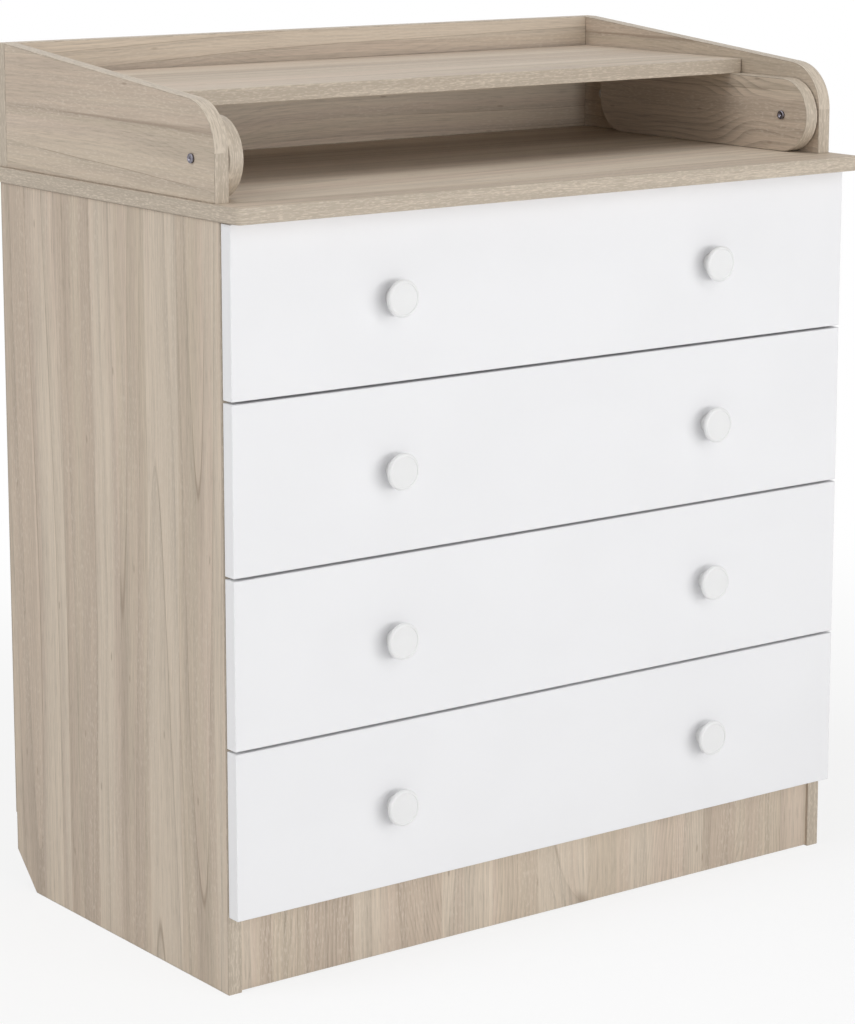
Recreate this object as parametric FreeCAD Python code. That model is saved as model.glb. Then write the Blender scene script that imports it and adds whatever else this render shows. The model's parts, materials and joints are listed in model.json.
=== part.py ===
import FreeCAD
import Part
import math
import os

# Changing dresser with four drawers and a changing board that flips over to the front.
# Sizes are in millimetres. X runs to the right as seen from the front, Y to the rear, Z up.
# The origin is on the floor, under the centre of the whole footprint.

# Boards
board_thickness = 16.0
edge_ease = 0.8                 # rounding left on the long edges of the visible boards
fit_gap = 0.05                  # between a fastener and its own hole

# Carcass
carcass_width = 800.0
side_height = 774.0
side_depth = 423.0
skirting_cut = 40.0             # bevel at the rear foot, clear of a skirting board
back_sheet_thickness = 3.0
back_sheet_margin = 1.0         # the back sheet stops this far inside the carcass outline
plinth_floor_gap = 1.0
plinth_height = 79.0
plinth_setback = 3.0
front_rail_depth = 80.0

# Worktop and the low walls on it
worktop_thickness = 16.0
worktop_side_overhang = 3.0
worktop_front_overhang = 37.0
worktop_corner_radius = 5.0     # the two front corners, seen from above
upper_back_height = 130.0
upper_side_setback = 7.0        # front edge, behind the front edge of the carcass side
upper_side_nose_radius = 50.0
upper_side_nose_height = 48.0   # centre of the nose above the worktop

# Changing board and its two arms
pivot_setback = 48.0            # behind the front edge of the carcass side
arm_half_height = 40.0
arm_rear_inset = 44.0           # the arm ends this far in front of the board's rear edge
arm_heel_radius = 40.0
arm_seat_gap = 0.3              # between the arm and the worktop, at both ends of the swing
arm_side_gap = 1.5              # between the arm and the upper side
pivot_play = 0.15
board_side_gap = 1.0
board_butt_gap = 0.5            # between the flipped board and the front edge of the worktop
board_rear_gap = 6.0            # between the board and the low back wall

# Pivot bolts
bolt_radius = 3.0
sleeve_radius = 4.0
pivot_head_radius = 4.9
pivot_head_height = 2.4
pivot_head_round = 1.0
hex_key_width = 4.0
hex_key_depth = 1.5
bolt_grip = 12.0                # length of the bolt inside the sleeve nut
running_gap = 0.08              # radial play of everything that turns on a pin
washer_radius = 11.0

# Drawer fronts
drawer_count = 4
front_thickness = 16.0
front_side_margin = 1.0
front_gap = 2.5
front_top_gap = 1.5
front_bottom_lift = 1.0         # above the underside of the bottom panel
front_seat_gap = 0.3            # between the closed front and the carcass

# Knobs
knob_inset = 192.0              # from the outer face of the carcass side
knob_radius = 19.0
knob_projection = 19.0
knob_rim_round = 3.0
knob_neck_radius = 9.0
knob_foot_radius = 10.0
knob_bolt_radius = 2.0
knob_bolt_depth = 12.0
knob_bolt_head_radius = 4.5
knob_bolt_head_height = 2.4

# Drawer boxes
slide_space = 12.5              # between a drawer side and the carcass side
drawer_side_thickness = 12.0
drawer_side_lift = 27.0         # lower edge above the lower edge of the front
drawer_top_drop = 24.0          # upper edge below the upper edge of the front
drawer_rear_space = 33.0        # between the drawer box and the rear edge of the carcass side
drawer_sheet_thickness = 3.0
groove_lift = 10.0
groove_depth = 6.0
groove_play = 0.2
sheet_end_play = 0.5

# Roller slides
slide_sheet = 1.2
rail_setback = 2.0
rail_rear_space = 21.0
rail_flange = 10.0
runner_height = 20.0
runner_foot = 9.0
runner_lip_gap = 2.2            # between the lip of the runner and the carcass side
lip_head_gap = 0.8              # between the lip and the upper flange of the rail
roller_radius = 8.0
roller_width = 7.0
roller_round = 0.8
roller_shoulder = 0.7
axle_radius = 2.5
axle_head_radius = 4.0
axle_head_height = 0.8
axle_end_play = 0.2
rolling_gap = 0.2
roller_clear = 3.0              # between a roller and the end of the strip beside it
front_roller_setback = 12.0     # axle behind the front end of the rail
rear_roller_inset = 10.0        # axle in front of the rear end of the runner
upper_flange_start = 60.0       # the upper flange begins this far behind the front of the rail
roller_stop_reach = 80.0        # rear axle behind the carcass front when the drawer is fully out
stop_height = 3.0
stop_width = 3.0

# Fasteners
cam_radius = 7.5
cam_depth = 12.5
cam_setback = 34.0              # from the centre of a cam to the edge of its board
cam_bolt_radius = 3.0
cam_bolt_grip = 11.0            # length of the bolt in the neighbouring board
bottom_cam_inset = 50.0         # from the front and rear edges of the bottom panel
top_cam_inset = 60.0            # from the front and rear edges of the carcass side
low_wall_cam_inset = 92.0       # from the ends of the upper side
back_cam_spacing = 250.0
board_cam_front_inset = 55.0    # behind the front edge of the changing board
board_cam_rear_inset = 45.0     # in front of the rear end of the arm
rail_screw_radius = 1.75
rail_screw_length = 12.0
rail_screw_head_radius = 3.4
rail_screw_insets = (90.0, 40.0)    # from the front and the rear end of the rail
nail_radius = 0.8
nail_length = 16.0
nail_head_radius = 2.0
nail_head_height = 0.8
nails_across = 7
nails_up = 6

# Levels and lines that follow from the sizes above
total_depth = worktop_front_overhang + side_depth + back_sheet_thickness
front_y = worktop_front_overhang - total_depth / 2.0        # front edge of the carcass sides
rear_y = front_y + side_depth
back_y = rear_y + back_sheet_thickness
half_width = carcass_width / 2.0
inner_half = half_width - board_thickness
bottom_z = plinth_floor_gap + plinth_height
floor_panel_z = bottom_z + board_thickness
worktop_z = side_height + worktop_thickness
top_z = worktop_z + upper_back_height
upper_back_y = back_y - board_thickness
pivot_y = front_y + pivot_setback
pivot_z = worktop_z + arm_seat_gap + arm_half_height
board_z = pivot_z + arm_half_height
board_front_y = 2.0 * pivot_y - (front_y - worktop_front_overhang - board_butt_gap)
board_rear_y = upper_back_y - board_rear_gap
arm_rear_y = board_rear_y - arm_rear_inset
arm_outer = inner_half - arm_side_gap
arm_inner = arm_outer - board_thickness
first_front_z = bottom_z + front_bottom_lift
front_stack = side_height - front_top_gap - first_front_z
front_height = (front_stack - (drawer_count - 1) * front_gap) / drawer_count
front_pitch = front_height + front_gap
front_rear_y = front_y - front_seat_gap
front_face_y = front_rear_y - front_thickness
drawer_outer = inner_half - slide_space
drawer_inner = drawer_outer - drawer_side_thickness
drawer_rear_y = rear_y - drawer_rear_space
rail_front_y = front_y + rail_setback
rail_rear_y = rear_y - rail_rear_space
front_roller_y = rail_front_y + front_roller_setback
rear_roller_y = drawer_rear_y - rear_roller_inset
drawer_travel = rear_roller_y - (front_y + roller_stop_reach)

parts = {}
pockets = {}


def vector(x, y, z):
    return FreeCAD.Vector(x, y, z)


along_x = vector(1.0, 0.0, 0.0)
along_y = vector(0.0, 1.0, 0.0)
along_z = vector(0.0, 0.0, 1.0)


def board(x_range, y_range, z_range, ease=0.0):
    """Rectangular board between three pairs of limits, with its edges eased."""
    low = vector(x_range[0], y_range[0], z_range[0])
    solid = Part.makeBox(x_range[1] - x_range[0], y_range[1] - y_range[0], z_range[1] - z_range[0], low)
    if ease > 0.0:
        solid = solid.makeFillet(ease, solid.Edges)
    return solid


def rod(radius, start, end):
    """Round bar between two points."""
    direction = end - start
    return Part.makeCylinder(radius, direction.Length, start, direction)


def plate(edges, thickness, ease=0.0):
    """Board cut to an outline in the YZ plane, running in +X, with its two outlines eased."""
    face = Part.Face(Part.Wire(edges))
    solid = face.extrude(along_x * thickness)
    if ease > 0.0:
        start_x = face.BoundBox.XMin
        end_x = start_x + thickness
        outline = [edge for edge in solid.Edges if flat_at(edge, start_x) or flat_at(edge, end_x)]
        solid = solid.makeFillet(ease, outline)
    return solid


def flat_at(edge, x):
    """True when an edge lies wholly in the plane at x."""
    tolerance = 1e-6
    return abs(edge.BoundBox.XMin - x) < tolerance and abs(edge.BoundBox.XMax - x) < tolerance


def mirrored(shape):
    return shape.mirror(vector(0.0, 0.0, 0.0), along_x)


def line(start, end):
    return Part.LineSegment(start, end).toShape()


def arc(start, middle, end):
    return Part.Arc(start, middle, end).toShape()


def on_circle(centre, radius, angle):
    """Point of a circle in a YZ plane. The angle is in radians from +Y towards +Z."""
    return centre + vector(0.0, radius * math.cos(angle), radius * math.sin(angle))


def add(node, *solids):
    parts.setdefault(node, []).extend(solids)


def hollow(node, *cutters):
    """Keep cutters for a node. They are taken out of it when all pieces are made."""
    pockets.setdefault(node, []).extend(cutters)


def cam_joint(node, cam_node, bolt_node, face_point, face_normal, bolt_direction, both_sides=True):
    """Cam sunk into a face of one board, and its bolt held in the edge or face of the next board."""
    cam_end = face_point - face_normal * cam_depth
    middle = face_point - face_normal * (board_thickness / 2.0)
    bolt_start = middle + bolt_direction * (cam_radius + fit_gap)
    bolt_end = middle + bolt_direction * (cam_setback + cam_bolt_grip)
    pocket_end = cam_end - face_normal * fit_gap
    solids = [rod(cam_radius, face_point, cam_end), rod(cam_bolt_radius, bolt_start, bolt_end)]
    pocket = rod(cam_radius + fit_gap, face_point, pocket_end)
    bore = rod(cam_bolt_radius + fit_gap, middle, bolt_end + bolt_direction * fit_gap)
    add(node, *solids)
    hollow(cam_node[0], pocket, bore)
    hollow(bolt_node[0], bore)
    if both_sides:
        add(node, *[mirrored(solid) for solid in solids])
        hollow(cam_node[-1], mirrored(pocket), mirrored(bore))
        hollow(bolt_node[-1], mirrored(bore))


def make_sides():
    outline = [vector(-half_width, front_y, 0.0),
               vector(-half_width, rear_y - skirting_cut, 0.0),
               vector(-half_width, rear_y, skirting_cut),
               vector(-half_width, rear_y, side_height),
               vector(-half_width, front_y, side_height)]
    edges = [line(outline[i - 1], outline[i]) for i in range(len(outline))]
    side = plate(edges, board_thickness, edge_ease)
    add("side_panel_left", side)
    add("side_panel_right", mirrored(side))
    for y in (front_y + top_cam_inset, rear_y - top_cam_inset):
        cam_joint("cam_fittings", ("side_panel_left", "side_panel_right"), ("worktop",),
                  vector(-inner_half, y, side_height - cam_setback), along_x, along_z)


def make_base_and_rail():
    across = (-inner_half, inner_half)
    bottom = board(across, (front_y, rear_y), (bottom_z, floor_panel_z))
    add("bottom_panel", bottom)
    plinth_y = front_y + plinth_setback
    plinth = board(across, (plinth_y, plinth_y + board_thickness), (plinth_floor_gap, bottom_z))
    add("front_plinth", plinth)
    rail_z = side_height - board_thickness
    rail = board(across, (front_y, front_y + front_rail_depth), (rail_z, side_height))
    add("front_rail", rail)

    cam_x = -(inner_half - cam_setback)
    side_panels = ("side_panel_left", "side_panel_right")
    for y in (front_y + bottom_cam_inset, rear_y - bottom_cam_inset):
        cam_joint("cam_fittings", ("bottom_panel",), side_panels,
                  vector(cam_x, y, bottom_z), -along_z, -along_x)
    cam_joint("cam_fittings", ("front_rail",), side_panels,
              vector(cam_x, front_y + front_rail_depth / 2.0, rail_z), -along_z, -along_x)
    cam_joint("cam_fittings", ("front_plinth",), side_panels,
              vector(cam_x, plinth_y + board_thickness, plinth_floor_gap + plinth_height / 2.0),
              along_y, -along_x)


def make_back_sheet():
    half_sheet = half_width - back_sheet_margin
    low_z = bottom_z + back_sheet_margin
    high_z = side_height - back_sheet_margin
    add("back_sheet", board((-half_sheet, half_sheet), (rear_y, back_y), (low_z, high_z)))

    edge_x = half_width - board_thickness / 2.0
    row_z = bottom_z + board_thickness / 2.0
    step_x = 2.0 * edge_x / (nails_across - 1)
    step_z = (high_z - row_z) / nails_up
    spots = [(-edge_x + i * step_x, row_z, "bottom_panel") for i in range(1, nails_across - 1)]
    for i in range(nails_up):
        spots.append((-edge_x, row_z + i * step_z, "side_panel_left"))
        spots.append((edge_x, row_z + i * step_z, "side_panel_right"))
    for x, z, board_node in spots:
        tip = vector(x, back_y - nail_length, z)
        under_head = vector(x, back_y - nail_head_height, z)
        top = vector(x, back_y, z)
        add("back_nails", rod(nail_radius, tip, under_head).fuse(rod(nail_head_radius, under_head, top)))
        bore = rod(nail_radius + fit_gap, tip - along_y * fit_gap, top)
        seat = rod(nail_head_radius + fit_gap, under_head, top)
        hollow("back_sheet", bore, seat)
        hollow(board_node, bore)


def make_worktop():
    half_top = half_width + worktop_side_overhang
    top_front_y = front_y - worktop_front_overhang
    top = board((-half_top, half_top), (top_front_y, back_y), (side_height, worktop_z))
    corners = [edge for edge in top.Edges if edge.BoundBox.YMax < top_front_y + worktop_corner_radius
               and edge.BoundBox.ZLength > worktop_thickness / 2.0]
    top = top.makeFillet(worktop_corner_radius, corners)
    outline = [edge for edge in top.Edges if edge.BoundBox.ZLength < edge_ease]
    add("worktop", top.makeFillet(edge_ease, outline))


def make_upper_walls():
    across = (-half_width, half_width)
    add("upper_back", board(across, (upper_back_y, back_y), (worktop_z, top_z), edge_ease))

    nose = vector(-half_width, front_y + upper_side_setback + upper_side_nose_radius,
                  worktop_z + upper_side_nose_height)
    rear_top = vector(-half_width, upper_back_y, top_z)
    to_rear = rear_top - nose
    rise = math.atan2(to_rear.z, to_rear.y)
    tangent_angle = rise + math.acos(upper_side_nose_radius / to_rear.Length)
    shoulder = on_circle(nose, upper_side_nose_radius, tangent_angle)
    cheek = on_circle(nose, upper_side_nose_radius, (tangent_angle + math.pi) / 2.0)
    nose_front = on_circle(nose, upper_side_nose_radius, math.pi)
    foot_front = vector(-half_width, nose_front.y, worktop_z)
    foot_rear = vector(-half_width, upper_back_y, worktop_z)
    edges = [line(foot_rear, rear_top), line(rear_top, shoulder), arc(shoulder, cheek, nose_front),
             line(nose_front, foot_front), line(foot_front, foot_rear)]
    wall = plate(edges, board_thickness, edge_ease)
    add("upper_side_left", wall)
    add("upper_side_right", mirrored(wall))

    walls = ("upper_side_left", "upper_side_right")
    for y in (nose_front.y + low_wall_cam_inset, upper_back_y - low_wall_cam_inset):
        cam_joint("cam_fittings", walls, ("worktop",),
                  vector(-inner_half, y, worktop_z + cam_setback), along_x, -along_z)
    cam_joint("cam_fittings", walls, ("upper_back",),
              vector(-inner_half, upper_back_y - cam_setback, pivot_z), along_x, along_y)
    cam_joint("cam_fittings", ("upper_back",), ("worktop",),
              vector(-back_cam_spacing, back_y, worktop_z + cam_setback), along_y, -along_z)
    cam_joint("cam_fittings", ("upper_back",), ("worktop",),
              vector(0.0, back_y, worktop_z + cam_setback), along_y, -along_z, both_sides=False)


def make_changer():
    board_half = inner_half - board_side_gap
    add("changing_board", board((-board_half, board_half), (board_front_y, board_rear_y),
                                (board_z, board_z + board_thickness), edge_ease))

    pivot = vector(-arm_outer, pivot_y, pivot_z)
    heel = vector(-arm_outer, arm_rear_y - arm_heel_radius, pivot_z - arm_half_height + arm_heel_radius)
    nose_top = on_circle(pivot, arm_half_height, math.pi / 2.0)
    nose_front = on_circle(pivot, arm_half_height, math.pi)
    nose_bottom = on_circle(pivot, arm_half_height, -math.pi / 2.0)
    heel_bottom = on_circle(heel, arm_heel_radius, -math.pi / 2.0)
    heel_middle = on_circle(heel, arm_heel_radius, -math.pi / 4.0)
    heel_rear = on_circle(heel, arm_heel_radius, 0.0)
    rear_top = vector(-arm_outer, arm_rear_y, board_z)
    edges = [arc(nose_top, nose_front, nose_bottom), line(nose_bottom, heel_bottom),
             arc(heel_bottom, heel_middle, heel_rear), line(heel_rear, rear_top), line(rear_top, nose_top)]
    arm = plate(edges, board_thickness, edge_ease)
    add("arm_left", arm)
    add("arm_right", mirrored(arm))

    for y in (board_front_y + board_cam_front_inset, arm_rear_y - board_cam_rear_inset):
        cam_joint("board_fittings", ("arm_left", "arm_right"), ("changing_board",),
                  vector(-arm_outer, y, board_z - cam_setback), -along_x, along_z)


def pivot_point(x):
    return vector(x, pivot_y, pivot_z)


def round_head(x_seat, x_top):
    """Flat round head with a rounded rim and a hexagon socket."""
    head = rod(pivot_head_radius, pivot_point(x_seat), pivot_point(x_top))
    rim = [edge for edge in head.Edges if flat_at(edge, x_top)]
    head = head.makeFillet(pivot_head_round, rim)
    inward = 1.0 if x_seat > x_top else -1.0
    corner = hex_key_width / math.sqrt(3.0)
    corners = [on_circle(pivot_point(x_top), corner, i * math.pi / 3.0) for i in range(7)]
    socket = Part.Face(Part.makePolygon(corners)).extrude(along_x * (inward * hex_key_depth))
    return head.cut(socket)


def make_pivots():
    outer_x = -half_width
    washer_inner_x = -(arm_outer + pivot_play)
    nut_seat_x = -(arm_inner - pivot_play)
    bolt_end_x = washer_inner_x + bolt_grip
    bolt = round_head(outer_x, outer_x - pivot_head_height)
    bolt = bolt.fuse(rod(bolt_radius, pivot_point(outer_x), pivot_point(bolt_end_x)))
    add("pivot_bolts", bolt, mirrored(bolt))

    sleeve_start_x = -inner_half + fit_gap
    nut = round_head(nut_seat_x, nut_seat_x + pivot_head_height)
    nut = nut.fuse(rod(sleeve_radius, pivot_point(sleeve_start_x), pivot_point(nut_seat_x)))
    thread = rod(bolt_radius + fit_gap, pivot_point(sleeve_start_x), pivot_point(bolt_end_x + fit_gap))
    nut = nut.cut(thread)
    add("pivot_nuts", nut, mirrored(nut))

    washer_ends = (pivot_point(-inner_half), pivot_point(washer_inner_x))
    washer = rod(washer_radius, *washer_ends).cut(rod(sleeve_radius + running_gap, *washer_ends))
    add("pivot_washers", washer, mirrored(washer))

    wall_bore = rod(bolt_radius + fit_gap, pivot_point(outer_x), pivot_point(-inner_half))
    hollow("upper_side_left", wall_bore)
    hollow("upper_side_right", mirrored(wall_bore))
    arm_bore = rod(sleeve_radius + running_gap, pivot_point(-arm_outer), pivot_point(-arm_inner))
    hollow("arm_left", arm_bore)
    hollow("arm_right", mirrored(arm_bore))


def make_knob():
    """Round knob on its screw, with its foot on the front's face at the origin, facing -Y."""
    disc_rear = knob_projection - 2.0 * knob_rim_round
    blend_start = disc_rear - knob_rim_round
    blend_radius = knob_neck_radius + knob_rim_round
    rim_centre = knob_radius - knob_rim_round
    diagonal = knob_rim_round * math.sqrt(0.5)

    def point(radius, reach):
        return vector(radius, -reach, 0.0)

    edges = [line(point(0.0, 0.0), point(knob_foot_radius, 0.0)),
             line(point(knob_foot_radius, 0.0), point(knob_neck_radius, blend_start)),
             arc(point(knob_neck_radius, blend_start),
                 point(blend_radius - diagonal, blend_start + diagonal),
                 point(blend_radius, disc_rear)),
             line(point(blend_radius, disc_rear), point(rim_centre, disc_rear)),
             arc(point(rim_centre, disc_rear), point(knob_radius, disc_rear + knob_rim_round),
                 point(rim_centre, knob_projection)),
             line(point(rim_centre, knob_projection), point(0.0, knob_projection)),
             line(point(0.0, knob_projection), point(0.0, 0.0))]
    knob = Part.Face(Part.Wire(edges)).revolve(point(0.0, 0.0), along_y, 360.0)
    knob = knob.cut(rod(knob_bolt_radius + fit_gap, point(0.0, 0.0), point(0.0, knob_bolt_depth + fit_gap)))

    head_seat = vector(0.0, front_thickness, 0.0)
    head_top = vector(0.0, front_thickness + knob_bolt_head_height, 0.0)
    head = rod(knob_bolt_head_radius, head_seat, head_top)
    screw = head.fuse(rod(knob_bolt_radius, point(0.0, knob_bolt_depth), head_seat))
    return [knob, screw]


def make_runner(front_z):
    """Left runner under a drawer side: foot, upright leg, outward lip, and the rear axle."""
    wall_x = -inner_half
    leg_x = (-drawer_outer - slide_sheet, -drawer_outer)
    low_z = front_z + drawer_side_lift - slide_sheet
    high_z = low_z + runner_height
    runner_y = (front_rear_y, drawer_rear_y)
    lip_end_y = rear_roller_y - roller_radius - roller_clear
    foot_x = (-drawer_outer - slide_sheet, -drawer_outer + runner_foot)
    foot = board(foot_x, runner_y, (low_z, low_z + slide_sheet))
    leg = board(leg_x, runner_y, (low_z, high_z))
    lip_x = (wall_x + runner_lip_gap, -drawer_outer)
    lip = board(lip_x, (front_rear_y, lip_end_y), (high_z - slide_sheet, high_z))
    axle_z = roller_axis_z(front_z)
    seat = vector(leg_x[0], rear_roller_y, axle_z)
    runner = foot.fuse([leg, lip, axle(seat, -along_x)]).removeSplitter()
    return runner, roller(seat - along_x * (roller_shoulder + axle_end_play))


def roller_axis_z(front_z):
    lip_under = front_z + drawer_side_lift - 2.0 * slide_sheet + runner_height
    return lip_under - rolling_gap - roller_radius


def axle(seat, direction):
    """Axle with a shoulder, the pin a roller turns on, and a head that keeps the roller on it."""
    shoulder = seat + direction * roller_shoulder
    under_head = shoulder + direction * (roller_width + 2.0 * axle_end_play)
    solid = rod(axle_head_radius, seat, shoulder).fuse(rod(axle_radius, seat, under_head))
    return solid.fuse(rod(axle_head_radius, under_head, under_head + direction * axle_head_height))


def roller(start):
    """Roller that runs from start in -X, with rounded rims and a bore."""
    end = start - along_x * roller_width
    body = rod(roller_radius, start, end)
    rims = [edge for edge in body.Edges if flat_at(edge, start.x) or flat_at(edge, end.x)]
    return body.makeFillet(roller_round, rims).cut(rod(axle_radius + running_gap, start, end))


def make_rail(front_z):
    """Left rail on the carcass side: web, two flanges, a stop, and the front axle."""
    wall_x = -inner_half
    axle_z = roller_axis_z(front_z)
    track_z = axle_z - roller_radius - rolling_gap
    lip_top = axle_z + roller_radius + rolling_gap + slide_sheet
    roof_z = lip_top + lip_head_gap
    flange_x = (wall_x, wall_x + rail_flange)
    track_y = rail_front_y + front_roller_setback + roller_radius + roller_clear
    web_x = wall_x + slide_sheet
    web = board((wall_x, web_x), (rail_front_y, rail_rear_y), (track_z - slide_sheet, roof_z + slide_sheet))
    track = board(flange_x, (track_y, rail_rear_y), (track_z - slide_sheet, track_z))
    roof_y = (rail_front_y + upper_flange_start, rail_rear_y)
    roof = board(flange_x, roof_y, (roof_z, roof_z + slide_sheet))
    contact = math.sqrt(roller_radius ** 2 - (roller_radius - stop_height) ** 2)
    stop_y = rear_roller_y - drawer_travel - contact - rolling_gap
    stop = board(flange_x, (stop_y - stop_width, stop_y), (track_z, track_z + stop_height))

    seat = vector(web_x, front_roller_y, axle_z)
    rail = web.fuse([track, roof, stop, axle(seat, along_x)]).removeSplitter()
    return rail, roller(seat + along_x * (roller_shoulder + axle_end_play + roller_width))


def make_rail_screws(rail_node, axle_z):
    """Two flat screws through the web of each rail into the carcass side."""
    for y in (rail_front_y + rail_screw_insets[0], rail_rear_y - rail_screw_insets[1]):
        wall = vector(-inner_half, y, axle_z)
        tip = wall - along_x * rail_screw_length
        top = wall + along_x * slide_sheet
        screw = rod(rail_screw_radius, tip, wall).fuse(rod(rail_screw_head_radius, wall, top))
        seat = rod(rail_screw_head_radius + fit_gap, wall, top)
        bore = rod(rail_screw_radius + fit_gap, tip - along_x * fit_gap, wall)
        add("rail_screws", screw, mirrored(screw))
        hollow(rail_node, seat, mirrored(seat))
        hollow("side_panel_left", bore)
        hollow("side_panel_right", mirrored(bore))


def make_drawer(number):
    """One drawer, numbered from the top, with its slides."""
    name = "drawer_%d_" % number
    front_z = first_front_z + (drawer_count - number) * front_pitch
    side_low = front_z + drawer_side_lift
    side_high = front_z + front_height - drawer_top_drop
    sheet_low = side_low + groove_lift
    sheet_high = sheet_low + drawer_sheet_thickness
    half_front = half_width - front_side_margin

    add(name + "front", board((-half_front, half_front), (front_face_y, front_rear_y),
                              (front_z, front_z + front_height), edge_ease))
    side = board((-drawer_outer, -drawer_inner), (front_rear_y, drawer_rear_y), (side_low, side_high))
    add(name + "side_left", side)
    add(name + "side_right", mirrored(side))
    back_front_y = drawer_rear_y - drawer_side_thickness
    add(name + "back", board((-drawer_inner, drawer_inner), (back_front_y, drawer_rear_y),
                             (sheet_high + groove_play, side_high)))
    half_sheet = drawer_inner + groove_depth - sheet_end_play
    add(name + "bottom", board((-half_sheet, half_sheet),
                               (front_rear_y - groove_depth + sheet_end_play, drawer_rear_y),
                               (sheet_low, sheet_high)))
    half_groove = drawer_inner + groove_depth
    groove = board((-half_groove, half_groove), (front_rear_y - groove_depth, drawer_rear_y),
                   (sheet_low, sheet_high + groove_play))
    hollow(name + "side_left", groove)
    hollow(name + "side_right", groove)
    hollow(name + "front", groove)

    knob_x = half_width - knob_inset
    knob_z = front_z + front_height / 2.0
    for x in (-knob_x, knob_x):
        place = vector(x, front_face_y, knob_z)
        for solid in make_knob():
            add(name + "knobs", solid.translated(place))
        hollow(name + "front", rod(knob_bolt_radius + fit_gap, place, place + along_y * front_thickness))

    runner, rear_roller = make_runner(front_z)
    rail, front_roller = make_rail(front_z)
    add(name + "runners", runner, mirrored(runner))
    add(name + "rollers", rear_roller, mirrored(rear_roller))
    add("cabinet_rails_%d" % number, rail, mirrored(rail))
    add("cabinet_rollers_%d" % number, front_roller, mirrored(front_roller))
    make_rail_screws("cabinet_rails_%d" % number, roller_axis_z(front_z))


def finish_parts():
    """Take the pockets out of each node's solids and write one file per node."""
    os.makedirs("parts", exist_ok=True)
    for node, solids in parts.items():
        shapes = []
        for solid in solids:
            if node in pockets:
                solid = solid.cut(pockets[node])
            shapes.extend(solid.Solids)
        shape = shapes[0] if len(shapes) == 1 else Part.makeCompound(shapes)
        shape.exportStep("parts/%s.step" % node)
        print("%-20s solids %2d  volume %.1f cm3" % (node, len(shapes), shape.Volume / 1000.0))


make_sides()
make_base_and_rail()
make_back_sheet()
make_worktop()
make_upper_walls()
make_changer()
make_pivots()
for drawer_number in range(1, drawer_count + 1):
    make_drawer(drawer_number)
finish_parts()
print("drawer travel %.1f, pivot at y %.2f z %.2f" % (drawer_travel, pivot_y, pivot_z))
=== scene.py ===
import bmesh
import bpy
import json
import math
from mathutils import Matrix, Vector


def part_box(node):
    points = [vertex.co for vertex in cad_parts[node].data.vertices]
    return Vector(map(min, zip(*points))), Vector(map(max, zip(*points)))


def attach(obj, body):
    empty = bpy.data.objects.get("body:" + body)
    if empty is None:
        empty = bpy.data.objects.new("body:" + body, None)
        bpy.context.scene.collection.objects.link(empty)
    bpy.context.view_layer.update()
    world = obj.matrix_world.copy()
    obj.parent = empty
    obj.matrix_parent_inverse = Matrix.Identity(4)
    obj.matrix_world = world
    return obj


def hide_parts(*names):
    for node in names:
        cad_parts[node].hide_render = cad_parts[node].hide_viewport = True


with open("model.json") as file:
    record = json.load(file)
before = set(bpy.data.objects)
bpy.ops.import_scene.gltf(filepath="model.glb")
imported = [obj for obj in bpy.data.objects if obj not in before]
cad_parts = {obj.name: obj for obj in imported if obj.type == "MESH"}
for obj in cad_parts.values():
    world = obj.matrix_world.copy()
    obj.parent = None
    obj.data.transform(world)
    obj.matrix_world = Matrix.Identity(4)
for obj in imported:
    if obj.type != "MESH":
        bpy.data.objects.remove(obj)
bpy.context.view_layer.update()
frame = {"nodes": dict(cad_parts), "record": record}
nodes = frame["nodes"]
record = frame["record"]
bodyOf = {name: body for body, names in record["behaviour"]["bodies"].items() for name in names}
drawerNumbers = (1, 2, 3, 4)
axisX, axisY, axisZ = range(3)
weldDistance = 2e-6
print("frame loaded:", len(nodes), "nodes")


def startMaterial(name):
    material = bpy.data.materials.new(name)
    material.use_nodes = True
    material.node_tree.nodes.clear()
    return material, material.node_tree


def put(tree, kind, inputs=None, **settings):    # a new node; an input that is a socket is linked
    made = tree.nodes.new(kind)
    for key, value in settings.items():
        setattr(made, key, value)
    for key, value in (inputs or {}).items():
        if isinstance(value, bpy.types.NodeSocket):
            tree.links.new(value, made.inputs[key])
        else:
            made.inputs[key].default_value = value
    return made


def calc(tree, operation, first, second=0.0, third=0.0):
    return put(tree, "ShaderNodeMath", {0: first, 1: second, 2: third}, operation=operation).outputs[0]


def step(tree, value, low, high, fromValue=0.0, toValue=1.0):    # a soft step between low and high
    ranged = put(tree, "ShaderNodeMapRange", {0: value, 1: low, 2: high, 3: fromValue, 4: toValue},
                 interpolation_type="SMOOTHSTEP")
    return ranged.outputs[0]


def mixColour(tree, factor, first, second, mode="MIX"):
    mixed = put(tree, "ShaderNodeMix", {0: factor, 6: first, 7: second}, data_type="RGBA", blend_type=mode)
    return mixed.outputs[2]


def grey(tree, value):    # a number spread over the three colour channels
    return put(tree, "ShaderNodeCombineColor", {0: value, 1: value, 2: value}).outputs[0]


def pattern(tree, place, cells, detail=1.0, roughness=0.5, offset=0.0, distortion=0.0):
    # noise with so many cells to the metre along the grain and across it; each offset is another patch of it
    scaled = put(tree, "ShaderNodeVectorMath", {0: place, 1: (*cells, 1.0), 2: (offset, offset * 0.7, 0.0)},
                 operation="MULTIPLY_ADD").outputs[0]
    noise = {"Vector": scaled, "Scale": 1.0, "Detail": detail, "Roughness": roughness,
             "Distortion": distortion}
    return put(tree, "ShaderNodeTexNoise", noise, noise_dimensions="2D").outputs[0]


def lumps(tree, perMetre, detail=2.0, roughness=0.5):    # the same in all directions, on Object coordinates
    place = put(tree, "ShaderNodeTexCoord").outputs["Object"]
    noise = {"Vector": place, "Scale": perMetre, "Detail": detail, "Roughness": roughness}
    return put(tree, "ShaderNodeTexNoise", noise).outputs[0]


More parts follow.
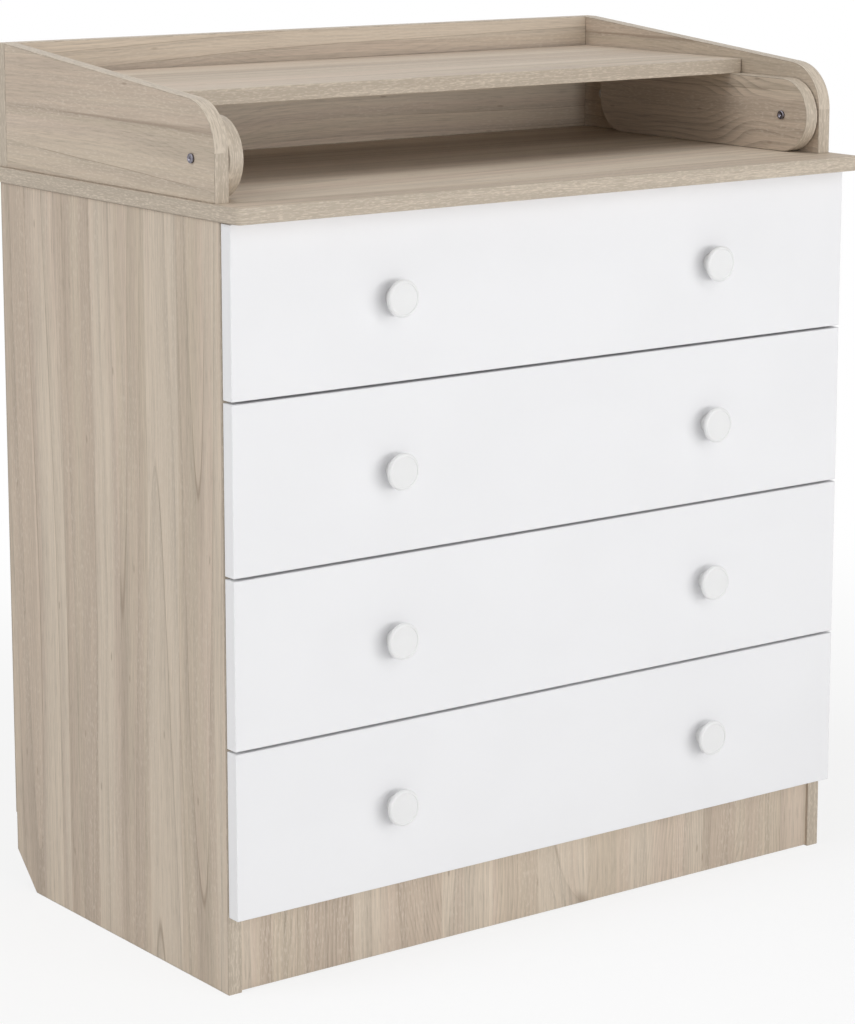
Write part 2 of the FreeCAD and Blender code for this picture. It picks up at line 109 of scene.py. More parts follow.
def finishMaterial(material, tree, colour, roughness, height, relief, bump=0.3, **fixed):
    # relief is the depth of the bump in metres
    bumped = put(tree, "ShaderNodeBump", {"Strength": bump, "Distance": relief, "Height": height})
    inputs = {"Base Color": colour, "Roughness": roughness, "Normal": bumped.outputs[0]}
    inputs.update({key.replace("_", " "): value for key, value in fixed.items()})
    surface = put(tree, "ShaderNodeBsdfPrincipled", inputs)
    put(tree, "ShaderNodeOutputMaterial", {0: surface.outputs[0]})
    return material


# Cells are to the metre, along the grain and across it. Tones are added to a brightness of 1: one where a
# mark is weakest, one where it is strongest. Values named figured grow with a board's figure.
oak = {
    "groundColours": {0.35: (0.494, 0.405, 0.322, 1.0), 0.45: (0.524, 0.441, 0.346, 1.0),
                      0.55: (0.554, 0.454, 0.366, 1.0), 0.65: (0.585, 0.498, 0.401, 1.0)},
    "lineColour": (0.270, 0.205, 0.150, 1.0), "fleckColour": (0.660, 0.580, 0.485, 1.0),
    "stavesPerMetre": 17.0, "staveShift": 9.0, "staveJump": 0.36, "figuredJump": 0.20,
    "figuredContrast": 0.35,
    "wander": 0.040, "ripple": 0.0010, "figuredRipple": 0.0030,
    "softCells": (0.7, 24.0),
    "streakCells": (1.8, 95.0), "streakTones": (-0.048, 0.048),
    "threadCells": (8.0, 460.0), "threadTones": (-0.062, 0.062),
    "cloudCells": (3.0, 9.0), "cloudTones": (-0.020, 0.020),
    "openCells": (2.5, 26.0),
    "poreCells": (40.0, 760.0), "poreTone": -0.115,
    "fleckCells": (120.0, 700.0), "fleckShare": 0.42,
    "ringsPerMetre": 190.0, "ringEdge": 2.2, "ringTones": (0.055, -0.145), "ringPatchCells": (3.0, 14.0),
    "archCells": (3.2, 8.0), "archHeight": 15.0,
    "layerCells": (0.26, 9.0), "layerCount": 10.0, "layerEdge": 2.5, "layerTones": (0.030, -0.105),
    "lineWidth": 0.030, "lineFadeCells": (1.6, 18.0), "lineDepth": 0.62,
    "knotCells": (7.0, 26.0), "knotRadius": 0.045, "knotCore": 0.015, "knotRarity": 0.70, "knotDepth": 0.5,
    "roughness": (0.50, 0.62), "relief": 0.00010, "gloss": 0.32,
}


def wandered(tree, place, amount, ripple=None):    # the grain drifts to and fro along a board, and may ripple
    drift = pattern(tree, place, (1.1, 2.6), offset=3.1)
    shift = calc(tree, "MULTIPLY", calc(tree, "SUBTRACT", drift, 0.5), amount)
    if ripple is not None:
        small = pattern(tree, place, (9.0, 13.0), 3.0, 0.6, offset=6.3)
        shift = calc(tree, "MULTIPLY_ADD", calc(tree, "SUBTRACT", small, 0.5), ripple, shift)
    across = put(tree, "ShaderNodeCombineXYZ", {1: shift}).outputs[0]
    return put(tree, "ShaderNodeVectorMath", {0: place, 1: across}, operation="ADD").outputs[0]


def oakStaves(tree, grain, across):    # a random number for each stave, and its own place on the print
    staves = {"W": across, "Scale": oak["stavesPerMetre"]}
    stave = put(tree, "ShaderNodeTexVoronoi", staves, voronoi_dimensions="1D")
    dice = put(tree, "ShaderNodeSeparateColor", {0: stave.outputs["Color"]}).outputs
    shift = calc(tree, "MULTIPLY", dice[1], oak["staveShift"])
    along = put(tree, "ShaderNodeCombineXYZ", {0: shift}).outputs[0]
    own = put(tree, "ShaderNodeVectorMath", {0: grain, 1: along}, operation="ADD").outputs[0]
    return dice[0], own


def oakGround(tree, grain, dice, figure):    # soft bands of colour that jump a little from stave to stave
    soft = pattern(tree, grain, oak["softCells"], 2.0, offset=7.7)
    share = calc(tree, "MULTIPLY_ADD", figure, oak["figuredJump"], oak["staveJump"])
    tone = calc(tree, "MULTIPLY_ADD", calc(tree, "SUBTRACT", dice, soft), share, soft)
    contrast = calc(tree, "MULTIPLY_ADD", figure, oak["figuredContrast"], 1.0)
    tone = calc(tree, "MULTIPLY", calc(tree, "SUBTRACT", tone, 0.5), contrast)
    ramp = put(tree, "ShaderNodeValToRGB", {0: calc(tree, "ADD", tone, 0.5)})
    stops = ramp.color_ramp.elements
    places = sorted(oak["groundColours"])
    stops[0].position = places[0]
    stops[1].position = places[-1]
    for place in places[1:-1]:
        stops.new(place)
    for stop, place in zip(stops, places):
        stop.color = oak["groundColours"][place]
    return ramp.outputs[0]


def oakPoresAndFlecks(tree, own):    # flecks lie where the pores are thin
    openness = pattern(tree, own, oak["openCells"], offset=11.0)
    pore = step(tree, pattern(tree, own, oak["poreCells"], offset=2.2), 0.55, 0.68)
    pore = calc(tree, "MULTIPLY", pore, step(tree, openness, 0.40, 0.60, 0.12, 1.0))
    fleck = step(tree, pattern(tree, own, oak["fleckCells"], offset=8.8), 0.54, 0.68)
    fleck = calc(tree, "MULTIPLY", fleck, step(tree, openness, 0.62, 0.40, 0.15, 1.0))
    return pore, fleck


def oakRings(tree, own, across):    # arched growth rings, strong in some places and faint in others
    arch = pattern(tree, own, oak["archCells"], 2.0, 0.4, offset=21.0)
    rise = calc(tree, "MULTIPLY", arch, oak["archHeight"])
    ring = calc(tree, "FRACT", calc(tree, "MULTIPLY_ADD", across, oak["ringsPerMetre"], rise))
    ring = step(tree, calc(tree, "POWER", ring, oak["ringEdge"]), 0.0, 1.0, *oak["ringTones"])
    patchy = step(tree, pattern(tree, own, oak["ringPatchCells"], offset=14.0), 0.36, 0.58, 0.2, 1.0)
    return calc(tree, "MULTIPLY", ring, patchy)


def oakLayers(tree, grain, own):    # wide layers, each darker towards the thin dark line where it ends
    field = pattern(tree, grain, oak["layerCells"], 0.0, offset=31.0)
    field = calc(tree, "ADD", calc(tree, "MULTIPLY", field, oak["layerCount"]), 0.5)
    layer = calc(tree, "POWER", calc(tree, "FRACT", field), oak["layerEdge"])
    line = step(tree, calc(tree, "PINGPONG", field, 0.5), oak["lineWidth"], 0.0)
    fade = step(tree, pattern(tree, own, oak["lineFadeCells"], 2.0, offset=17.0), 0.44, 0.60)
    line = calc(tree, "MULTIPLY", calc(tree, "MULTIPLY", line, fade), oak["lineDepth"])
    return step(tree, layer, 0.0, 1.0, *oak["layerTones"]), line


def oakKnots(tree, own):    # a tiny knot here and there
    cells = put(tree, "ShaderNodeVectorMath", {0: own, 1: (*oak["knotCells"], 1.0)},
                operation="MULTIPLY").outputs[0]
    spot = put(tree, "ShaderNodeTexVoronoi", {"Vector": cells, "Scale": 1.0}, voronoi_dimensions="2D").outputs
    dice = put(tree, "ShaderNodeSeparateColor", {0: spot["Color"]}).outputs[0]
    chosen = step(tree, dice, oak["knotRarity"], oak["knotRarity"] + 0.02, 0.0, oak["knotDepth"])
    return calc(tree, "MULTIPLY", step(tree, spot[0], oak["knotRadius"], oak["knotCore"]), chosen)


def makeOak():    # the printed film on the faces; the attribute "figure" says how wild a board's grain is
    material, tree = startMaterial("washedOak")
    place = put(tree, "ShaderNodeUVMap", uv_map="grain").outputs[0]
    figure = put(tree, "ShaderNodeAttribute", attribute_name="figure").outputs["Fac"]
    ripple = calc(tree, "MULTIPLY_ADD", figure, oak["figuredRipple"], oak["ripple"])
    grain = wandered(tree, place, oak["wander"], ripple)
    across = put(tree, "ShaderNodeSeparateXYZ", {0: grain}).outputs[1]
    dice, own = oakStaves(tree, grain, across)
    ground = oakGround(tree, grain, dice, figure)

    streak = pattern(tree, own, oak["streakCells"], 4.0, 0.70, offset=1.3)
    thread = pattern(tree, own, oak["threadCells"], 2.0, 0.70, offset=5.9)
    cloud = pattern(tree, place, oak["cloudCells"], 2.0, offset=41.0)
    light = calc(tree, "ADD", step(tree, streak, 0.30, 0.70, *oak["streakTones"]),
                 step(tree, thread, 0.30, 0.70, *oak["threadTones"]))
    light = calc(tree, "ADD", light, step(tree, cloud, 0.3, 0.7, *oak["cloudTones"]))
    pore, fleck = oakPoresAndFlecks(tree, own)
    light = calc(tree, "MULTIPLY_ADD", pore, oak["poreTone"], light)
    light = calc(tree, "MULTIPLY_ADD", oakRings(tree, own, across), figure, light)
    layer, line = oakLayers(tree, grain, own)
    light = calc(tree, "ADD", light, layer)
    line = calc(tree, "MAXIMUM", line, oakKnots(tree, own))

    colour = mixColour(tree, 1.0, ground, grey(tree, calc(tree, "ADD", light, 1.0)), "MULTIPLY")
    colour = mixColour(tree, calc(tree, "MULTIPLY", fleck, oak["fleckShare"]), colour, oak["fleckColour"])
    colour = mixColour(tree, line, colour, oak["lineColour"])
    height = calc(tree, "SUBTRACT", calc(tree, "MULTIPLY", thread, 0.5), calc(tree, "ADD", pore, line))
    roughness = step(tree, streak, 0.3, 0.7, *oak["roughness"])
    return finishMaterial(material, tree, colour, roughness, height, oak["relief"],
                          Specular_IOR_Level=oak["gloss"])


edging = {
    "dark": (0.440, 0.374, 0.298, 1.0), "light": (0.600, 0.520, 0.424, 1.0), "wander": 0.012,
    "bandCells": (3.0, 150.0), "bandTones": (0.10, 0.62),
    "threadCells": (11.0, 430.0), "threadTones": (-0.12, 0.16),
    "poreCells": (50.0, 820.0), "poreTone": -0.80,
    "fleckCells": (150.0, 840.0), "fleckTone": 0.60,
    "stripCells": (0.45, 0.45), "stripTones": (-0.24, 0.20),
    "roughness": (0.46, 0.56), "relief": 0.00010, "gloss": 0.32,
}


def makeEdging():    # the thin strips glued round the boards
    material, tree = startMaterial("oakEdging")
    place = put(tree, "ShaderNodeUVMap", uv_map="grain").outputs[0]
    grain = wandered(tree, place, edging["wander"])
    band = pattern(tree, grain, edging["bandCells"], 2.0, 0.6, offset=4.0)
    thread = pattern(tree, grain, edging["threadCells"], 2.0, 0.6, offset=9.0)
    pore = step(tree, pattern(tree, grain, edging["poreCells"], offset=12.0), 0.53, 0.66)
    fleck = step(tree, pattern(tree, grain, edging["fleckCells"], offset=6.0), 0.50, 0.62)
    strip = pattern(tree, place, edging["stripCells"], 0.0, offset=2.0)
    tone = calc(tree, "ADD", step(tree, band, 0.30, 0.70, *edging["bandTones"]),
                step(tree, thread, 0.30, 0.70, *edging["threadTones"]))
    tone = calc(tree, "MULTIPLY_ADD", fleck, edging["fleckTone"], tone)
    tone = calc(tree, "MULTIPLY_ADD", pore, edging["poreTone"], tone)
    tone = calc(tree, "ADD", tone, step(tree, strip, 0.35, 0.65, *edging["stripTones"]))
    colour = mixColour(tree, tone, edging["dark"], edging["light"])
    roughness = step(tree, band, 0.3, 0.7, *edging["roughness"])
    return finishMaterial(material, tree, colour, roughness, thread, edging["relief"],
                          Specular_IOR_Level=edging["gloss"])


chipboard = {"dark": (0.33, 0.24, 0.15, 1.0), "light": (0.60, 0.49, 0.34, 1.0), "chips": (900.0, 3.0, 0.65),
             "roughness": (0.80, 0.95), "relief": 0.00040, "bump": 0.6}


def makeChipboard():    # seen only inside the bores
    material, tree = startMaterial("rawChipboard")
    chips = lumps(tree, *chipboard["chips"])
    colour = mixColour(tree, step(tree, chips, 0.35, 0.65), chipboard["dark"], chipboard["light"])
    roughness = step(tree, chips, 0.3, 0.7, *chipboard["roughness"])
    return finishMaterial(material, tree, colour, roughness, chips, chipboard["relief"], chipboard["bump"])


laminate = {"dark": (0.812, 0.812, 0.825, 1.0), "light": (0.826, 0.826, 0.839, 1.0), "cloudCells": (5.0, 7.0),
            "embossCells": (260.0, 620.0), "roughness": (0.40, 0.50), "relief": 0.00008, "bump": 0.25}


def makeWhiteLaminate():    # matt white film with a faint embossed texture
    material, tree = startMaterial("whiteLaminate")
    place = put(tree, "ShaderNodeUVMap", uv_map="grain").outputs[0]
    cloud = pattern(tree, place, laminate["cloudCells"], 2.0, offset=2.0)
    emboss = pattern(tree, place, laminate["embossCells"], 2.0, 0.6, offset=5.0, distortion=0.6)
    colour = mixColour(tree, step(tree, cloud, 0.3, 0.7), laminate["dark"], laminate["light"])
    roughness = step(tree, emboss, 0.3, 0.7, *laminate["roughness"])
    return finishMaterial(material, tree, colour, roughness, emboss, laminate["relief"], laminate["bump"])


pressedFibre = {"dark": (0.425, 0.357, 0.279, 1.0), "light": (0.455, 0.384, 0.302, 1.0),
                "cloud": (22.0, 3.0, 0.6), "fibre": (380.0, 4.0, 0.7), "fibreShare": 0.35,
                "fibreColour": (0.250, 0.190, 0.130, 1.0),
                "roughness": (0.62, 0.78), "relief": 0.00015, "bump": 0.35}


def makeHardboard():
    material, tree = startMaterial("hardboard")
    fibre = lumps(tree, *pressedFibre["fibre"])
    cloud = lumps(tree, *pressedFibre["cloud"])
    base = mixColour(tree, step(tree, cloud, 0.3, 0.7), pressedFibre["dark"], pressedFibre["light"])
    share = step(tree, fibre, 0.55, 0.70, 0.0, pressedFibre["fibreShare"])
    colour = mixColour(tree, share, base, pressedFibre["fibreColour"])
    roughness = step(tree, fibre, 0.3, 0.7, *pressedFibre["roughness"])
    return finishMaterial(material, tree, colour, roughness, fibre, pressedFibre["relief"],
                          pressedFibre["bump"])


# skin and cloud are lumps to the metre, their detail and their roughness
coated = {
    "knobLacquer": {"dark": (0.786, 0.786, 0.786, 1.0), "light": (0.798, 0.798, 0.798, 1.0),
                    "skin": (300.0, 1.0), "cloud": (40.0, 1.0), "roughness": (0.30, 0.38),
                    "relief": 0.00002, "bump": 0.15},
    "drawerBoardWhite": {"dark": (0.765, 0.762, 0.748, 1.0), "light": (0.800, 0.798, 0.785, 1.0),
                         "skin": (700.0, 2.0, 0.6), "cloud": (14.0, 2.0), "roughness": (0.48, 0.60),
                         "relief": 0.00006, "bump": 0.25},
    "epoxyWhite": {"dark": (0.74, 0.74, 0.73, 1.0), "light": (0.79, 0.79, 0.78, 1.0), "skin": (720.0, 2.0),
                   "cloud": (90.0, 2.0), "roughness": (0.32, 0.42), "relief": 0.00005, "bump": 0.3},
    "rollerNylon": {"dark": (0.66, 0.65, 0.60, 1.0), "light": (0.72, 0.71, 0.66, 1.0), "skin": (1200.0, 2.0),
                    "cloud": (150.0, 2.0), "roughness": (0.40, 0.52), "relief": 0.00003, "bump": 0.3},
    "washerNylon": {"dark": (0.05, 0.05, 0.055, 1.0), "light": (0.08, 0.08, 0.085, 1.0),
                    "skin": (2400.0, 2.0), "cloud": (300.0, 2.0), "roughness": (0.42, 0.55),
                    "relief": 0.00003, "bump": 0.3},
}


def makeCoated(name):    # lacquer, paint and plastic: a soft cloud in the colour, a fine skin in the gloss
    look = coated[name]
    material, tree = startMaterial(name)
    skin = lumps(tree, *look["skin"])
    cloud = lumps(tree, *look["cloud"])
    colour = mixColour(tree, step(tree, cloud, 0.3, 0.7), look["dark"], look["light"])
    roughness = step(tree, skin, 0.3, 0.7, *look["roughness"])
    return finishMaterial(material, tree, colour, roughness, skin, look["relief"], look["bump"])


plated = {
    "zincPlate": {"dark": (0.50, 0.50, 0.49, 1.0), "light": (0.66, 0.66, 0.65, 1.0), "spangle": 260.0,
                  "roughness": (0.28, 0.42)},
    "boltNickel": {"dark": (0.15, 0.14, 0.17, 1.0), "light": (0.24, 0.23, 0.26, 1.0), "spangle": 400.0,
                   "roughness": (0.26, 0.36)},
}
platingSkin = {"finer": 6.0, "relief": 0.00003, "bump": 0.3}


def makePlated(name):
    look = plated[name]
    material, tree = startMaterial(name)
    spangle = lumps(tree, look["spangle"], 2.0, 0.6)
    fine = lumps(tree, look["spangle"] * platingSkin["finer"])
    colour = mixColour(tree, step(tree, spangle, 0.35, 0.65), look["dark"], look["light"])
    roughness = step(tree, spangle, 0.3, 0.7, *look["roughness"])
    return finishMaterial(material, tree, colour, roughness, fine, platingSkin["relief"], platingSkin["bump"],
                          Metallic=1.0)


washedOak, oakEdging, rawChipboard = makeOak(), makeEdging(), makeChipboard()
whiteLaminate, hardboard = makeWhiteLaminate(), makeHardboard()
knobLacquer, drawerBoardWhite, epoxyWhite, rollerNylon, washerNylon = [makeCoated(name) for name in coated]
zincPlate, boltNickel = [makePlated(name) for name in plated]
print("materials made:", len(bpy.data.materials))


def newPiece(name, mesh, body, replaced):
    piece = bpy.data.objects.new(name, mesh)
    bpy.context.scene.collection.objects.link(piece)
    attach(piece, body)
    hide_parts(*replaced)
    return piece


def mergedCopy(nodeName):
    shape = bmesh.new()
    shape.from_mesh(nodes[nodeName].data)
    bmesh.ops.remove_doubles(shape, verts=shape.verts, dist=weldDistance)
    return shape


# lengths in metres, sharpTurn and corner in radians, flatAngle and sharpAngle in degrees
boardMap = {"flat": 0.995, "level": 1e-5, "sharpTurn": 0.6, "seamReach": 0.0015, "pocketMargin": 0.0016,
            "stripStep": 3.7, "backFaceShift": 1.9, "widthShift": 0.37, "flatAngle": 0.2}
arris = {"ease": 0.00025, "corner": 0.9, "steps": 2, "sharpAngle": 50.0}


def isFilmFace(face, thin, level):    # lies flat in the board's face at this level
    square = abs(face.normal[thin]) > boardMap["flat"]
    return square and abs(face.calc_center_median()[thin] - level) < boardMap["level"]


def ringLength(ring):
    return sum((a - b).length for a, b in zip(ring, ring[1:] + ring[:1]))


def outerOutline(shape, thin, level):    # the longest ring of edges round the board's face at this level
    rim = {}
    for edge in shape.edges:
        inFace = [isFilmFace(face, thin, level) for face in edge.link_faces]
        if len(inFace) == 2 and inFace[0] != inFace[1]:
            for vert in edge.verts:
                rim.setdefault(vert, []).append(edge)
    rings = []
    left = dict.fromkeys(rim)
    while left:    # a ring starts at its last corner along the axes, so that each run gives the same strips
        start = max(left, key=lambda vert: [round(value, 5) for value in vert.co])
        ring, edge, vert = [start], rim[start][0], start
        del left[start]
        while True:
            vert = edge.other_vert(vert)
            if vert not in left:
                break
            ring.append(vert)
            del left[vert]
            edge = next((other for other in rim[vert] if other is not edge), edge)
        rings.append([vert.co.copy() for vert in ring])
    return max(rings, key=ringLength)


def edgingRuns(ring, thin, seams):    # a new strip of edging starts at each sharp corner and at each seam
    axes = [axis for axis in range(3) if axis != thin]
    points = [Vector((co[axes[0]], co[axes[1]])) for co in ring]
    runs, length, number = [], 0.0, 0
    for index, start in enumerate(points):
        end = points[(index + 1) % len(points)]
        before = start - points[index - 1]
        ahead = end - start
        sharp = before.length > 0 and ahead.length > 0 and before.angle(ahead) > boardMap["sharpTurn"]
        if sharp or any((start - Vector(seam)).length < boardMap["seamReach"] for seam in seams):
            number += 1
        runs.append((start, end, length, number))
        length += ahead.length
    return axes, runs, length


def stripPlace(point, axes, runs):    # the distance from the outline, the place along it, and the run
    flatPoint = Vector((point[axes[0]], point[axes[1]]))
    best = None
    for start, end, length, number in runs:
        along = end - start
        share = 0.0
        if along.length > 1e-9:
            share = max(0.0, min(1.0, (flatPoint - start).dot(along) / along.length_squared))
        away = (start + along * share - flatPoint).length
        if best is None or away < best[0]:
            best = (away, length + share * along.length, number)
    return best


def boardPart(face, thin, low, high, axes, runs):    # 0 for the film, 1 for the edging, 2 for bores
    if isFilmFace(face, thin, low[thin]) or isFilmFace(face, thin, high[thin]):
        return 0, 0
    away, _, number = stripPlace(face.calc_center_median(), axes, runs)
    return (1, number) if away < boardMap["pocketMargin"] else (2, 0)


def easeArrises(shape, part, low, high):    # only the outer ones, not the rims of bores; nothing grows
    arrises = []
    for edge in shape.edges:
        kinds = sorted(part[face] for face in edge.link_faces)
        if kinds == [0, 1] or (kinds == [1, 1] and edge.calc_face_angle(0.0) > arris["corner"]):
            arrises.append(edge)
    bmesh.ops.bevel(shape, geom=arrises, offset=arris["ease"], segments=arris["steps"], profile=0.5,
                    affect="EDGES", clamp_overlap=False)
    for vert in shape.verts:
        vert.co = [min(max(value, low[axis]), high[axis]) for axis, value in enumerate(vert.co)]


def layFilm(face, uv, thin, grain, sheet):
    across = 3 - thin - grain
    side = boardMap["backFaceShift"] if face.normal[thin] > 0 else 0.0
    for loop in face.loops:
        co = loop.vert.co
        loop[uv].uv = (co[grain] + sheet + side, co[across] + boardMap["widthShift"] * sheet + side)


def layEdging(face, uv, thin, sheet, axes, runs, turn, number):    # turn is the whole way round the board
    places = [stripPlace(loop.vert.co, axes, runs)[1] for loop in face.loops]
    if max(places) - min(places) > turn / 2.0:
        places = [place + turn if place < turn / 2.0 else place for place in places]
    for loop, place in zip(face.loops, places):
        loop[uv].uv = (place + sheet + number * boardMap["stripStep"], loop.vert.co[thin] + sheet)


def dressBoard(nodeName, thin, grain, sheet, figure=0.0, seams=(), film=washedOak, strip=oakEdging):
    shape = mergedCopy(nodeName)
    bmesh.ops.dissolve_limit(shape, angle_limit=math.radians(boardMap["flatAngle"]), verts=shape.verts,
                             edges=shape.edges)
    low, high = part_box(nodeName)
    axes, runs, turn = edgingRuns(outerOutline(shape, thin, high[thin]), thin, seams)
    part = {face: boardPart(face, thin, low, high, axes, runs)[0] for face in shape.faces}
    easeArrises(shape, part, low, high)

    uv = shape.loops.layers.uv.new("grain")
    for face in shape.faces:
        face.material_index, number = boardPart(face, thin, low, high, axes, runs)
        face.smooth = face.material_index > 0
        if face.material_index == 0:
            layFilm(face, uv, thin, grain, sheet)
        elif face.material_index == 1:
            layEdging(face, uv, thin, sheet, axes, runs, turn, number)
    mesh = bpy.data.meshes.new(nodeName + "_dressed")
    shape.to_mesh(mesh)
    shape.free()
    mesh.attributes.new("figure", "FLOAT", "POINT").data.foreach_set("value", [figure] * len(mesh.vertices))
    for material in (film, strip, rawChipboard):
        mesh.materials.append(material)
    mesh.set_sharp_from_angle(angle=math.radians(arris["sharpAngle"]))
    piece = newPiece(nodeName + "_board", mesh, bodyOf[nodeName], (nodeName,))
    piece.modifiers.new("evenOut", "WEIGHTED_NORMAL").keep_sharp = True


# the curved strip of a low wall ends where the nose runs into the straight front edge
wallNose = {"height": 0.048}
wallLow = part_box("upper_side_left")[0]
noseSeam = (wallLow.y, wallLow.z + wallNose["height"])

# sheet is the board's place on the printed film, in metres, and figure how wild its grain is
boards = {
    "side_panel_left": {"thin": axisX, "grain": axisZ, "sheet": 2.71, "figure": 0.2},
    "side_panel_right": {"thin": axisX, "grain": axisZ, "sheet": 5.37, "figure": 0.2},
    "worktop": {"thin": axisZ, "grain": axisX, "sheet": 8.73, "figure": 0.25},
    "changing_board": {"thin": axisZ, "grain": axisX, "sheet": 8.81, "figure": 0.3},
    "upper_back": {"thin": axisY, "grain": axisX, "sheet": 9.37, "figure": 0.4},
    "upper_side_left": {"thin": axisX, "grain": axisY, "sheet": 13.41, "figure": 0.35, "seams": [noseSeam]},
    "upper_side_right": {"thin": axisX, "grain": axisY, "sheet": 13.29, "figure": 0.45, "seams": [noseSeam]},
    "arm_left": {"thin": axisX, "grain": axisY, "sheet": 15.71, "figure": 1.35},
    "arm_right": {"thin": axisX, "grain": axisY, "sheet": 20.13, "figure": 1.35},
    "front_plinth": {"thin": axisY, "grain": axisZ, "sheet": 21.47, "figure": 0.8},
    "bottom_panel": {"thin": axisZ, "grain": axisX, "sheet": 23.41},
    "front_rail": {"thin": axisZ, "grain": axisX, "sheet": 25.87},
}
drawerFront = {"sheetStep": 0.6}

for nodeName, values in boards.items():
    dressBoard(nodeName, **values)
for number in drawerNumbers:
    dressBoard("drawer_%d_front" % number, axisY, axisX, drawerFront["sheetStep"] * number,
               film=whiteLaminate, strip=whiteLaminate)
print("boards dressed")

smallPiece = {"sharpAngle": 38.0}


def dressSmall(nodeName, material):    # the node's own shape, shaded smooth
    shape = mergedCopy(nodeName)
    for face in shape.faces:
        face.smooth = True
    mesh = bpy.data.meshes.new(nodeName + "_smooth")
    shape.to_mesh(mesh)
    shape.free()
    mesh.materials.append(material)
    mesh.set_sharp_from_angle(angle=math.radians(smallPiece["sharpAngle"]))
    newPiece(nodeName + "_piece", mesh, bodyOf[nodeName], (nodeName,))


def paintNode(nodeName, material):    # a flat sheet or board that stays as it is
    slots = nodes[nodeName].material_slots
    for slot in slots:
        slot.material = material
    if not slots:
        nodes[nodeName].data.materials.append(material)


dressSmall("pivot_bolts", boltNickel)
dressSmall("pivot_nuts", boltNickel)
dressSmall("pivot_washers", washerNylon)
paintNode("back_sheet", hardboard)
for number in drawerNumbers:
    dressSmall("drawer_%d_rollers" % number, rollerNylon)
    dressSmall("cabinet_rollers_%d" % number, rollerNylon)
    dressSmall("drawer_%d_runners" % number, epoxyWhite)
    dressSmall("cabinet_rails_%d" % number, epoxyWhite)
    for part in ("side_left", "side_right", "back"):
        paintNode("drawer_%d_%s" % (number, part), drawerBoardWhite)
    paintNode("drawer_%d_bottom" % number, hardboard)
print("small pieces dressed")


knob = {"radius": 0.019, "projection": 0.019, "rim": 0.003, "neck": 0.009, "foot": 0.010, "footEase": 0.0004,
        "lip": 0.0004, "lipFall": 0.0001, "sink": 0.0006, "floorEase": 0.0004,
        "neckSteps": 6, "hollowSteps": 8, "rimSteps": 16, "lipSteps": 6, "sides": 96}


def knobProfile():    # radius and reach from the drawer's front, from the foot's middle to the face's
    rim, reach, quarter = knob["rim"], knob["projection"], math.pi / 2.0
    discRear = reach - 2.0 * rim
    neckEnd = discRear - rim
    points = [(0.0, 0.0), (knob["foot"] - knob["footEase"], 0.0), (knob["foot"], knob["footEase"])]
    for i in range(1, knob["neckSteps"] + 1):
        share = i / knob["neckSteps"]
        taper = (knob["neck"] - knob["foot"]) * math.sin(share * quarter)
        points.append((knob["foot"] + taper, neckEnd * share))
    for i in range(1, knob["hollowSteps"] + 1):    # hollow where the neck runs into the back of the disc
        turn = i / knob["hollowSteps"] * quarter
        points.append((knob["neck"] + rim * (1.0 - math.cos(turn)), neckEnd + rim * math.sin(turn)))
    edge = knob["radius"] - rim
    for i in range(knob["rimSteps"] + 1):    # round rim
        turn = i / knob["rimSteps"] * math.pi - quarter
        points.append((edge + rim * math.cos(turn), discRear + rim + rim * math.sin(turn)))
    for i in range(1, knob["lipSteps"] + 1):    # a small lip, and the face sunk inside it
        turn = i / knob["lipSteps"] * quarter
        points.append((edge - knob["lip"] * math.sin(turn), reach - knob["lip"] * (1.0 - math.cos(turn))))
    floorEdge, floorReach = edge - knob["lip"] - knob["lipFall"], reach - knob["sink"]
    radii = (floorEdge, floorEdge - knob["floorEase"], floorEdge * 0.5, 0.0)
    return points + [(radius, floorReach) for radius in radii]


def turnKnob(shape, x, faceY, z):
    sides = knob["sides"]
    turns = [2.0 * math.pi * k / sides for k in range(sides)]
    rows = []
    for radius, reach in knobProfile():
        if radius < 1e-9:
            rows.append([shape.verts.new((x, faceY - reach, z))])
            continue
        rows.append([shape.verts.new((x + radius * math.cos(a), faceY - reach, z + radius * math.sin(a)))
                     for a in turns])
    for inner, outer in zip(rows, rows[1:]):
        for k in range(sides):
            after = (k + 1) % sides
            ring = [inner[k % len(inner)], outer[k % len(outer)], outer[after % len(outer)],
                    inner[after % len(inner)]]
            corners = list(dict.fromkeys(ring))    # three where a row is a single point
            shape.faces.new(corners).smooth = True


def knobPlaces(number):    # the two knobs' x, and the middle of the drawer's front
    frontLow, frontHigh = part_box("drawer_%d_front" % number)
    knobsLow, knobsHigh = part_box("drawer_%d_knobs" % number)
    return (knobsLow.x + knob["radius"], knobsHigh.x - knob["radius"]), (frontLow.z + frontHigh.z) / 2.0


for number in drawerNumbers:
    sides, middle = knobPlaces(number)
    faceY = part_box("drawer_%d_front" % number)[0].y
    shape = bmesh.new()
    for x in sides:
        turnKnob(shape, x, faceY, middle)
    bmesh.ops.recalc_face_normals(shape, faces=shape.faces)
    mesh = bpy.data.meshes.new("knobs_%d" % number)
    shape.to_mesh(mesh)
    shape.free()
    mesh.materials.append(knobLacquer)
    newPiece("knobs_%d" % number, mesh, "drawer_%d" % number, ("drawer_%d_knobs" % number,))
print("knobs turned")


def putCylinder(tree, given, radius, length, middle):    # upright, with its middle at this height
    sizes = {"Vertices": given["Sides"], "Radius": radius, "Depth": length}
    made = put(tree, "GeometryNodeMeshCylinder", sizes).outputs["Mesh"]
    place = put(tree, "ShaderNodeCombineXYZ", {2: middle}).outputs[0]
    return put(tree, "GeometryNodeTransform", {"Geometry": made, "Translation": place}).outputs[0]


